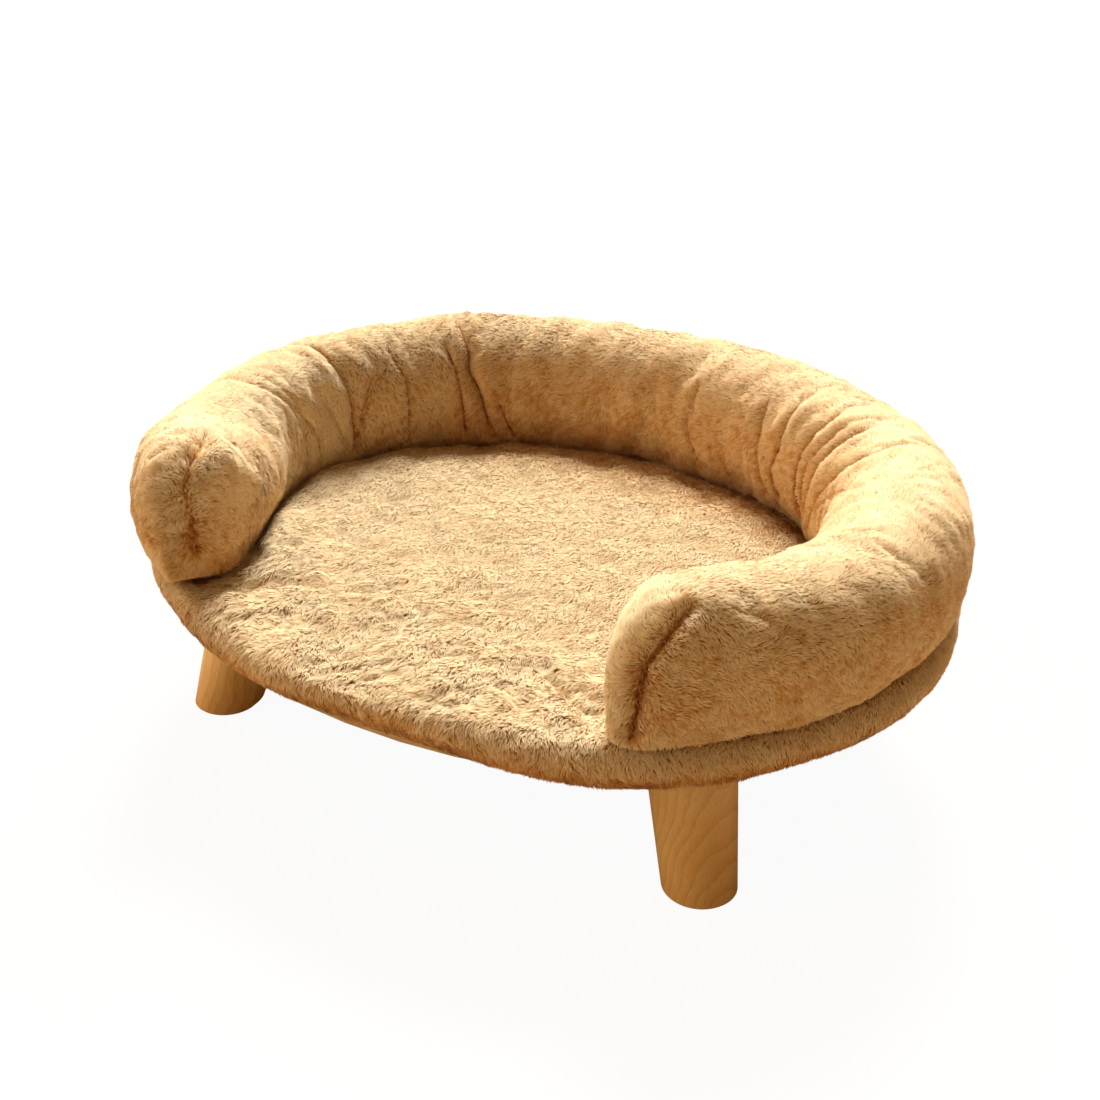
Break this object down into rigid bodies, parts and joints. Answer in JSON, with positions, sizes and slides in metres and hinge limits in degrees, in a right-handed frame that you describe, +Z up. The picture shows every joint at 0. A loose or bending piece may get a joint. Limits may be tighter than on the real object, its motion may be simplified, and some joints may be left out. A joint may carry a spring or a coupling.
{
  "type": "dog sofa bed",
  "caption": "Oval pet sofa bed: long-pile plush seat on a plywood base, a fat horseshoe bolster round the back and sides with an open front, and short splayed wooden legs.",
  "frame": {"origin": "on the floor, under the middle of the bed's box", "axes": "+X across the bed to its right seen from the front, +Y to its back, +Z up; the open front faces -Y"},
  "size_m": [0.686, 0.5618, 0.259],
  "materials": {
    "plush": "long soft pile",
    "wood": "satin varnish",
    "plywood": "bare",
    "foam": "open-cell foam",
    "wadding": "loose fibre",
    "lining": "non-woven cloth",
    "lining_light": "plain cloth",
    "felt": "pressed felt",
    "steel": "zinc plated"
  },
  "bodies": {
    "root": {"base_board": "plywood", "seat_foam": "foam", "seat_wadding": "wadding", "seat_cover": "plush", "base_lining": "lining", "staples": "steel", "bolster_cover": "plush", "bolster_base_panel": "lining_light", "bolster_filling": "wadding", "leg_front_left": "wood", "leg_front_right": "wood", "leg_back_left": "wood", "leg_back_right": "wood", "hanger_bolt_front_left": "steel", "hanger_bolt_front_right": "steel", "hanger_bolt_back_left": "steel", "hanger_bolt_back_right": "steel", "tee_nut_front_left": "steel", "tee_nut_front_right": "steel", "tee_nut_back_left": "steel", "tee_nut_back_right": "steel", "foot_glide_front_left": "felt", "foot_glide_front_right": "felt", "foot_glide_back_left": "felt", "foot_glide_back_right": "felt"}
  },
  "joints": []
}
